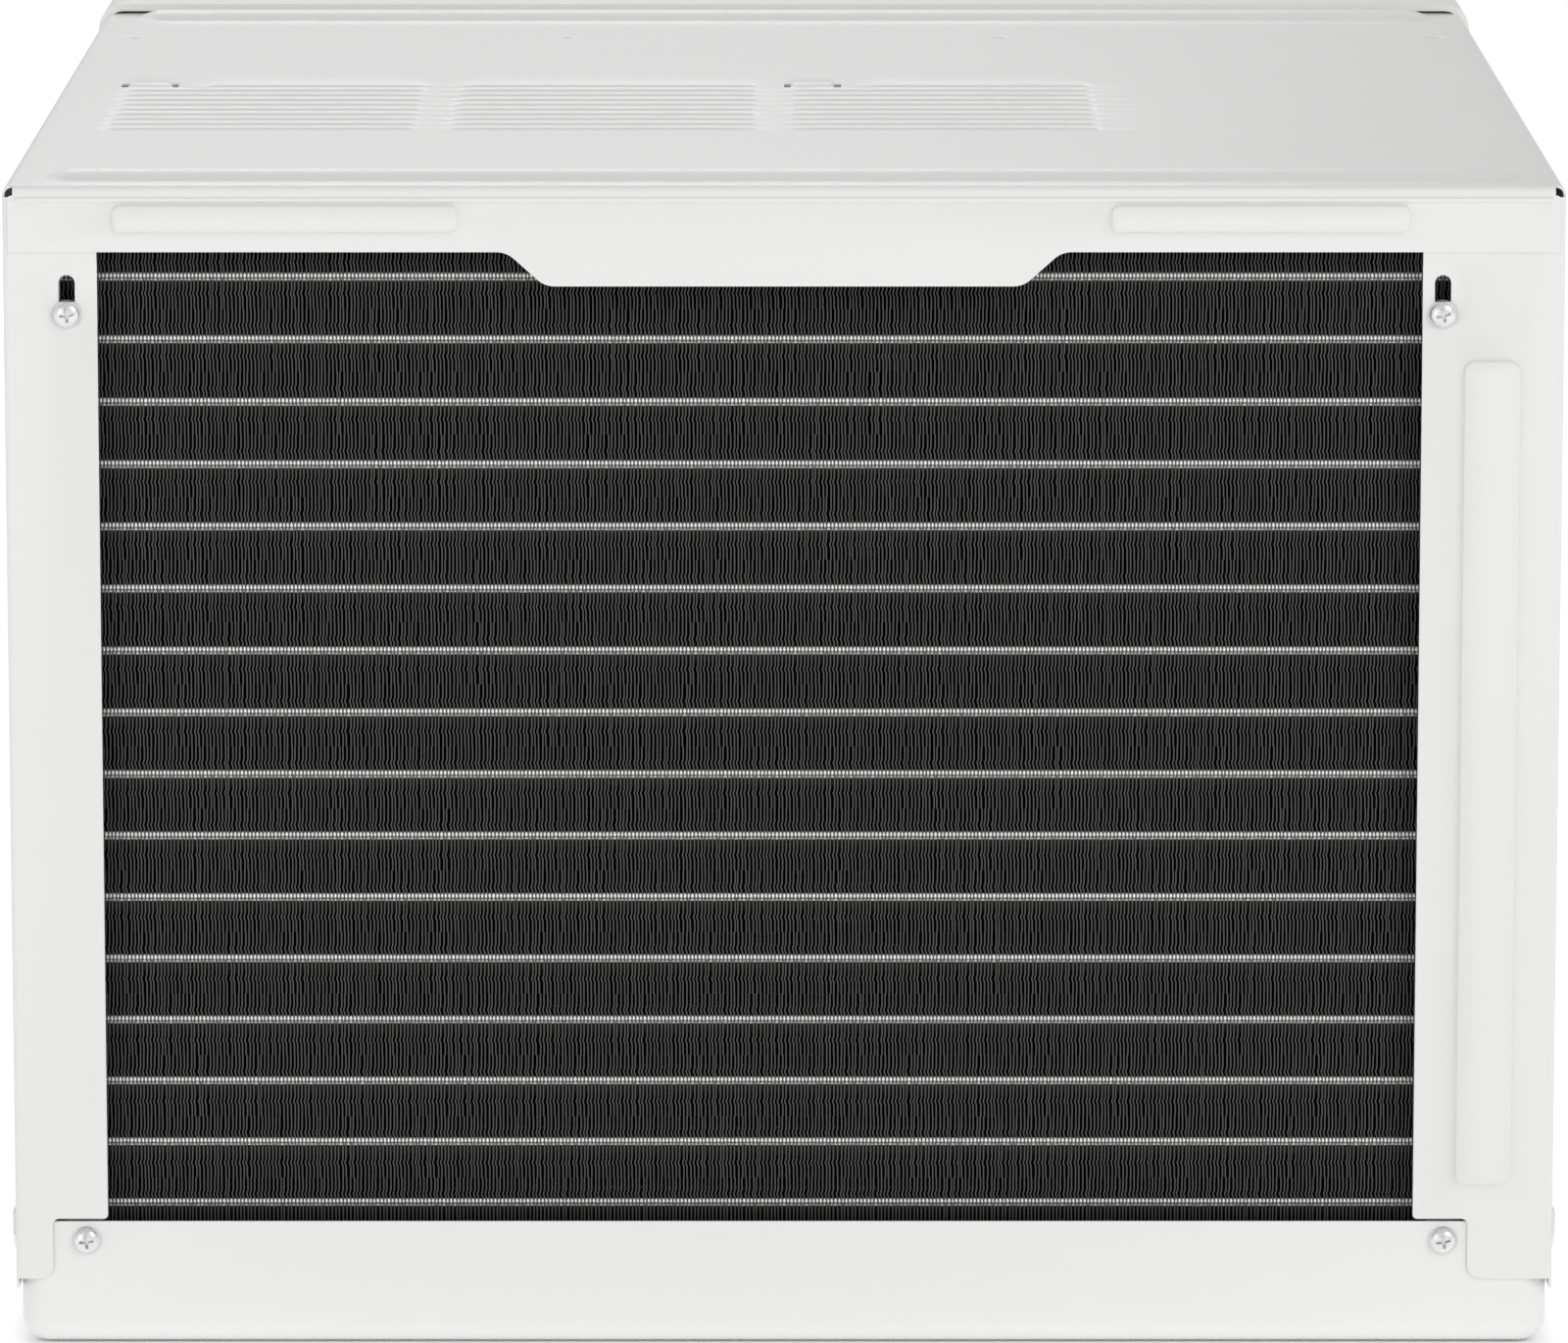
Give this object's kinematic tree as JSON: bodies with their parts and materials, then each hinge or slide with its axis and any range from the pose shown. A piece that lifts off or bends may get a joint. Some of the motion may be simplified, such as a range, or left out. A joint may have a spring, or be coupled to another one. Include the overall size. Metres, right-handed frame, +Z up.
{
  "type": "window air conditioner",
  "caption": "Window air conditioner with painted sheet-metal wrapper, open rear condenser coil, slide-in base pan, twin-ended fan motor, compressor and front bezel with louvres.",
  "frame": {"origin": "centre of the whole unit's footprint, on the surface that the base pan stands on", "axes": "+Z up; +Y towards the outdoor side with the open condenser coil; -Y towards the room side with the grille and controls; +X is the left side of the unit seen from outdoors"},
  "size_m": [0.495, 0.5524, 0.3765],
  "materials": {
    "pan_paint": "satin off-white powder coat",
    "cabinet_paint": "satin off-white powder coat with fine orange peel",
    "screw_zinc": "bright zinc plate",
    "galvanised": "galvanised sheet",
    "fin_stock": "mill finish fins, dusty grey",
    "copper": "drawn copper tube",
    "black_plastic": "moulded, matte",
    "ground_steel": "ground",
    "motor_paint": "grey enamel",
    "white_foam": "moulded foam, fine beads",
    "white_plastic": "fine texture",
    "filter_plastic": "moulded net",
    "dark_glass": "smoked acrylic",
    "board_green": "solder mask",
    "button_grey": "semi gloss",
    "ground_aluminium": "drawn can",
    "black_paint": "black enamel",
    "rubber_black": "moulded rubber"
  },
  "bodies": {
    "chassis": {"base_pan": "pan_paint", "outer_cabinet": "cabinet_paint", "rear_screws": "screw_zinc", "side_screws": "screw_zinc", "coil_clips": "galvanised", "condenser_fins": "fin_stock", "condenser_tubes": "copper", "condenser_end_plates": "galvanised", "fan_shroud": "black_plastic", "fan_motor": "motor_paint", "motor_bracket": "galvanised", "motor_nuts": "screw_zinc", "bulkhead": "galvanised", "blower_housing": "white_foam", "evaporator_fins": "fin_stock", "evaporator_tubes": "copper", "evaporator_end_plates": "galvanised", "discharge_duct": "white_foam", "front_bezel": "white_plastic", "control_fascia": "white_plastic", "display_window": "dark_glass", "control_board": "board_green", "electrical_box": "galvanised", "run_capacitor": "ground_aluminium", "compressor": "black_paint", "accumulator": "black_paint", "compressor_grommets": "rubber_black", "compressor_studs": "screw_zinc", "discharge_pipe": "copper", "suction_pipe": "copper", "capillary_tube": "copper", "drain_plug": "rubber_black"},
    "rotor": {"blower_wheel": "black_plastic", "motor_shaft": "ground_steel", "condenser_fan": "black_plastic"},
    "grille": {"intake_grille": "white_plastic"},
    "filter": {"filter_frame": "filter_plastic", "filter_mesh": "filter_plastic"},
    "blade_1": {"louvre_blade_1": "white_plastic"},
    "blade_2": {"louvre_blade_2": "white_plastic"},
    "blade_3": {"louvre_blade_3": "white_plastic"},
    "blade_link": {"louvre_link": "white_plastic"},
    "tie_1": {"vane_tie_1": "white_plastic"},
    "tie_2": {"vane_tie_2": "white_plastic"},
    "lever": {"vent_lever": "button_grey"},
    "door": {"vent_door": "galvanised"},
    "swing_1": {"vane_1": "white_plastic"},
    "swing_2": {"vane_2": "white_plastic"},
    "swing_3": {"vane_3": "white_plastic"},
    "swing_4": {"vane_4": "white_plastic"},
    "swing_5": {"vane_5": "white_plastic"},
    "swing_6": {"vane_6": "white_plastic"},
    "swing_7": {"vane_7": "white_plastic"},
    "swing_8": {"vane_8": "white_plastic"},
    "key_power": {"button_power": "button_grey"},
    "key_mode": {"button_mode": "button_grey"},
    "key_speed": {"button_speed": "button_grey"},
    "key_timer": {"button_timer": "button_grey"},
    "key_warmer": {"button_warmer": "button_grey"},
    "key_cooler": {"button_cooler": "button_grey"}
  },
  "joints": [
    {"name": "rotor_spin", "type": "hinge", "parent": "chassis", "child": "rotor", "pos_m": [0, 0.03, 0.172], "axis": [0, 1, 0], "continuous": true},
    {"name": "grille_hinge", "type": "hinge", "parent": "chassis", "child": "grille", "pos_m": [0, -0.274, 0.2786], "axis": [-1, 0, 0], "range_deg": [0, 75]},
    {"name": "filter_slide", "type": "slide", "parent": "chassis", "child": "filter", "axis": [1, 0, 0], "range_m": [0, 0.44]},
    {"name": "blade_tilt", "type": "hinge", "parent": "chassis", "child": "blade_1", "pos_m": [0, -0.264, 0.307], "axis": [1, 0, 0], "range_deg": [-35, 35]},
    {"name": "blade_2_tilt", "type": "hinge", "parent": "chassis", "child": "blade_2", "pos_m": [0, -0.264, 0.327], "axis": [1, 0, 0], "range_deg": [-35, 35]},
    {"name": "blade_3_tilt", "type": "hinge", "parent": "chassis", "child": "blade_3", "pos_m": [0, -0.264, 0.347], "axis": [1, 0, 0], "range_deg": [-35, 35]},
    {"name": "blade_link_pivot", "type": "hinge", "parent": "blade_1", "child": "blade_link", "pos_m": [-0.058, -0.2575, 0.307], "axis": [1, 0, 0], "range_deg": [-35, 35]},
    {"name": "vane_1_swing", "type": "hinge", "parent": "chassis", "child": "swing_1", "pos_m": [-0.20137, -0.2412, 0.327], "axis": [0, 0, 1], "range_deg": [-35, 35]},
    {"name": "vane_2_swing", "type": "hinge", "parent": "chassis", "child": "swing_2", "pos_m": [-0.16012, -0.2412, 0.327], "axis": [0, 0, 1], "range_deg": [-35, 35]},
    {"name": "vane_3_swing", "type": "hinge", "parent": "chassis", "child": "swing_3", "pos_m": [-0.11887, -0.2412, 0.327], "axis": [0, 0, 1], "range_deg": [-35, 35]},
    {"name": "vane_4_swing", "type": "hinge", "parent": "chassis", "child": "swing_4", "pos_m": [-0.07762, -0.2412, 0.327], "axis": [0, 0, 1], "range_deg": [-35, 35]},
    {"name": "vane_tie_1_pivot", "type": "hinge", "parent": "swing_1", "child": "tie_1", "pos_m": [-0.20137, -0.2332, 0.301], "axis": [0, 0, 1], "range_deg": [-35, 35]},
    {"name": "vane_5_swing", "type": "hinge", "parent": "chassis", "child": "swing_5", "pos_m": [-0.03637, -0.2412, 0.327], "axis": [0, 0, 1], "range_deg": [-35, 35]},
    {"name": "vane_6_swing", "type": "hinge", "parent": "chassis", "child": "swing_6", "pos_m": [0.00487, -0.2412, 0.327], "axis": [0, 0, 1], "range_deg": [-35, 35]},
    {"name": "vane_7_swing", "type": "hinge", "parent": "chassis", "child": "swing_7", "pos_m": [0.04612, -0.2412, 0.327], "axis": [0, 0, 1], "range_deg": [-35, 35]},
    {"name": "vane_8_swing", "type": "hinge", "parent": "chassis", "child": "swing_8", "pos_m": [0.08737, -0.2412, 0.327], "axis": [0, 0, 1], "range_deg": [-35, 35]},
    {"name": "vane_tie_2_pivot", "type": "hinge", "parent": "swing_5", "child": "tie_2", "pos_m": [-0.03637, -0.2332, 0.301], "axis": [0, 0, 1], "range_deg": [-35, 35]},
    {"name": "vent_lever_slide", "type": "slide", "parent": "chassis", "child": "lever", "axis": [0, 0, 1], "range_m": [0, 0.025]},
    {"name": "vent_door_hinge", "type": "hinge", "parent": "chassis", "child": "door", "pos_m": [0.18, -0.0524, 0.269], "axis": [-1, 0, 0], "range_deg": [0, 35]},
    {"name": "power_press", "type": "slide", "parent": "chassis", "child": "key_power", "axis": [0, 1, 0], "range_m": [0, 0.001], "stiffness_N_per_m": 400},
    {"name": "mode_press", "type": "slide", "parent": "chassis", "child": "key_mode", "axis": [0, 1, 0], "range_m": [0, 0.001], "stiffness_N_per_m": 400},
    {"name": "speed_press", "type": "slide", "parent": "chassis", "child": "key_speed", "axis": [0, 1, 0], "range_m": [0, 0.001], "stiffness_N_per_m": 400},
    {"name": "timer_press", "type": "slide", "parent": "chassis", "child": "key_timer", "axis": [0, 1, 0], "range_m": [0, 0.001], "stiffness_N_per_m": 400},
    {"name": "warmer_press", "type": "slide", "parent": "chassis", "child": "key_warmer", "axis": [0, 1, 0], "range_m": [0, 0.001], "stiffness_N_per_m": 400},
    {"name": "cooler_press", "type": "slide", "parent": "chassis", "child": "key_cooler", "axis": [0, 1, 0], "range_m": [0, 0.001], "stiffness_N_per_m": 400}
  ],
  "couplings": [
    {"joint": "blade_2_tilt", "follows": "blade_tilt", "ratio": 1},
    {"joint": "blade_3_tilt", "follows": "blade_tilt", "ratio": 1},
    {"joint": "blade_link_pivot", "follows": "blade_tilt", "ratio": -1},
    {"joint": "vane_2_swing", "follows": "vane_1_swing", "ratio": 1},
    {"joint": "vane_3_swing", "follows": "vane_1_swing", "ratio": 1},
    {"joint": "vane_4_swing", "follows": "vane_1_swing", "ratio": 1},
    {"joint": "vane_tie_1_pivot", "follows": "vane_1_swing", "ratio": -1},
    {"joint": "vane_6_swing", "follows": "vane_5_swing", "ratio": 1},
    {"joint": "vane_7_swing", "follows": "vane_5_swing", "ratio": 1},
    {"joint": "vane_8_swing", "follows": "vane_5_swing", "ratio": 1},
    {"joint": "vane_tie_2_pivot", "follows": "vane_5_swing", "ratio": -1},
    {"joint": "vent_door_hinge", "follows": "vent_lever_slide", "rad_per_m": 24.4}
  ]
}
